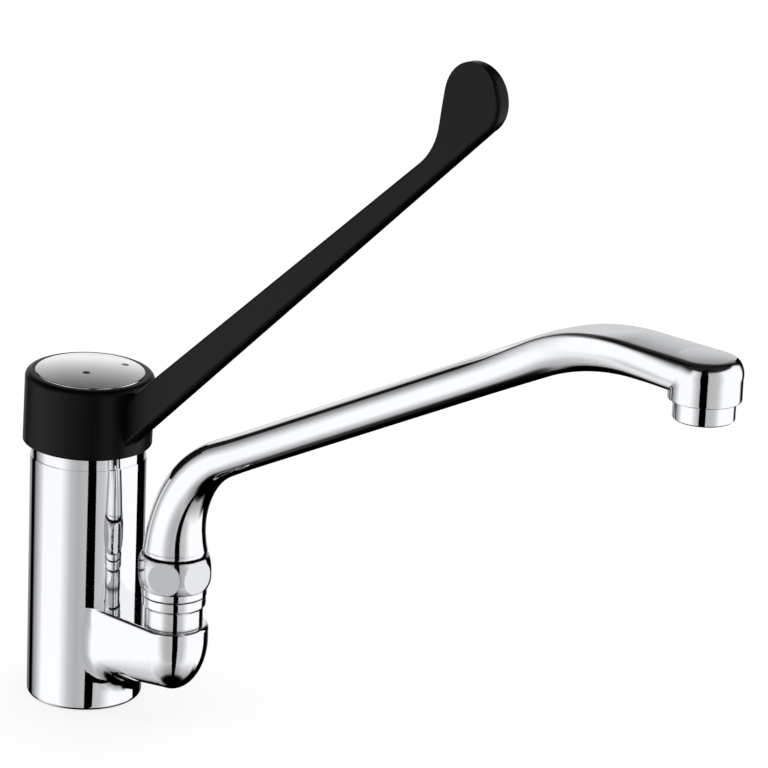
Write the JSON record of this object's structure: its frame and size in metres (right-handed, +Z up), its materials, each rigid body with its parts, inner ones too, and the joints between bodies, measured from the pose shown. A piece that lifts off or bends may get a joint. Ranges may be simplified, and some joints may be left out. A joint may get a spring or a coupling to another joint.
{
  "type": "single-lever kitchen faucet",
  "caption": "Chrome single-hole kitchen faucet with a low front outlet, a high swivel spout with a flat-topped nose and a long black paddle lever on a round hub.",
  "frame": {"origin": "centre of the body's base face, where it stands on the sink", "axes": "+Z up along the body's axis, +X from the body towards the spout's outlet and the paddle, +Y towards the cold side"},
  "size_m": [0.4058, 0.06, 0.3485],
  "materials": {
    "body_chrome": "polished",
    "neck_chrome": "polished",
    "nut_chrome": "polished",
    "spout_chrome": "polished",
    "aerator_chrome": "polished",
    "lever_black": "satin",
    "cap_silver": "satin silver",
    "dot_red": "gloss",
    "dot_blue": "gloss",
    "cartridge_plastic": "moulded",
    "aerator_plastic": "moulded",
    "ceramic": "lapped ceramic",
    "seal_rubber": "smooth",
    "brass": "turned",
    "steel": "turned"
  },
  "bodies": {
    "mixer": {"mixer_body": "body_chrome", "base_gasket": "seal_rubber", "outlet_neck": "neck_chrome", "neck_seal": "seal_rubber", "swivel_nut": "nut_chrome", "port_seals": "seal_rubber", "cartridge_base": "cartridge_plastic", "fixed_disc": "ceramic", "cartridge_housing": "cartridge_plastic", "clamp_nut": "brass", "cover_ring": "body_chrome"},
    "spout": {"spout": "spout_chrome", "spout_seals": "seal_rubber", "retaining_ring": "cartridge_plastic", "aerator_housing": "aerator_chrome", "aerator_insert": "aerator_plastic", "aerator_washer": "seal_rubber"},
    "rotor": {"rotor": "cartridge_plastic", "pivot_pin": "steel"},
    "lever": {"lever": "lever_black", "cartridge_stem": "brass", "lever_insert": "steel", "lever_screw": "steel", "index_cap": "cap_silver", "red_dot": "dot_red", "blue_dot": "dot_blue"},
    "disc": {"moving_disc": "ceramic", "disc_carrier": "cartridge_plastic"}
  },
  "joints": [
    {"name": "spout_swivel", "type": "hinge", "parent": "mixer", "child": "spout", "pos_m": [0.0594, 0, 0.078], "axis": [0, 0, 1], "range_deg": [-100, 100]},
    {"name": "temperature", "type": "hinge", "parent": "mixer", "child": "rotor", "pos_m": [0, 0, 0.105], "axis": [0, 0, 1], "range_deg": [-45, 45]},
    {"name": "flow", "type": "hinge", "parent": "rotor", "child": "lever", "pos_m": [0, 0, 0.11], "axis": [0, -1, 0], "range_deg": [0, 25]},
    {"name": "disc_slide", "type": "slide", "parent": "rotor", "child": "disc", "axis": [1, 0, 0], "range_m": [0, 0.0056]}
  ],
  "couplings": [
    {"joint": "disc_slide", "follows": "flow", "m_per_rad": 0.0124}
  ]
}
